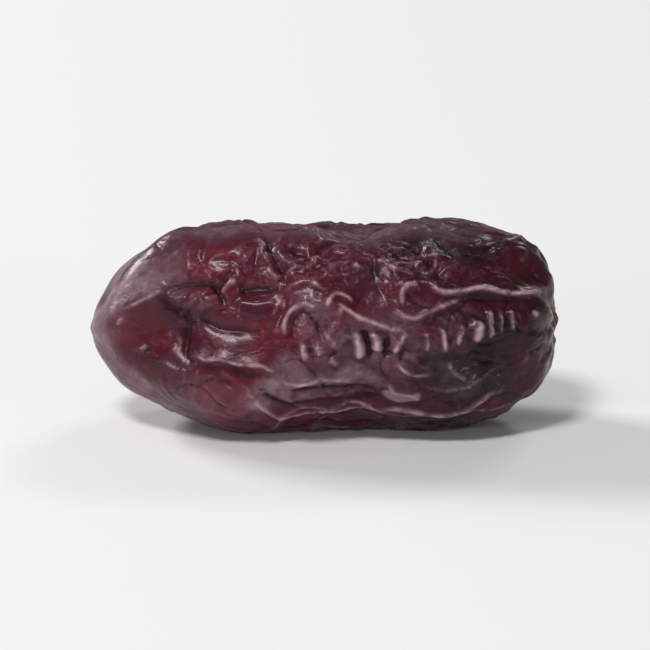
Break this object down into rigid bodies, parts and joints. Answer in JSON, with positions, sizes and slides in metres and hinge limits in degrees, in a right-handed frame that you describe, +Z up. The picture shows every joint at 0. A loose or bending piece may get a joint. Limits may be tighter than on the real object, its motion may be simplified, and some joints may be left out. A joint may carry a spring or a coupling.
{
  "type": "rabbi date",
  "caption": "Whole dried date lying on its side: an elongated fruit with wrinkled, waxy dark maroon skin, a bluntly pointed apex and a small sunken stalk scar.",
  "frame": {"origin": "under the middle of the fruit's box, on the surface that it lies on", "axes": "+X along the fruit's length towards the stalk end, +Z up, -Y towards the side that the picture shows"},
  "size_m": [0.042, 0.0194, 0.0186],
  "materials": {
    "skin": "waxy semi-gloss, wrinkled, dark maroon"
  },
  "bodies": {
    "root": {"date": "skin"}
  },
  "joints": []
}
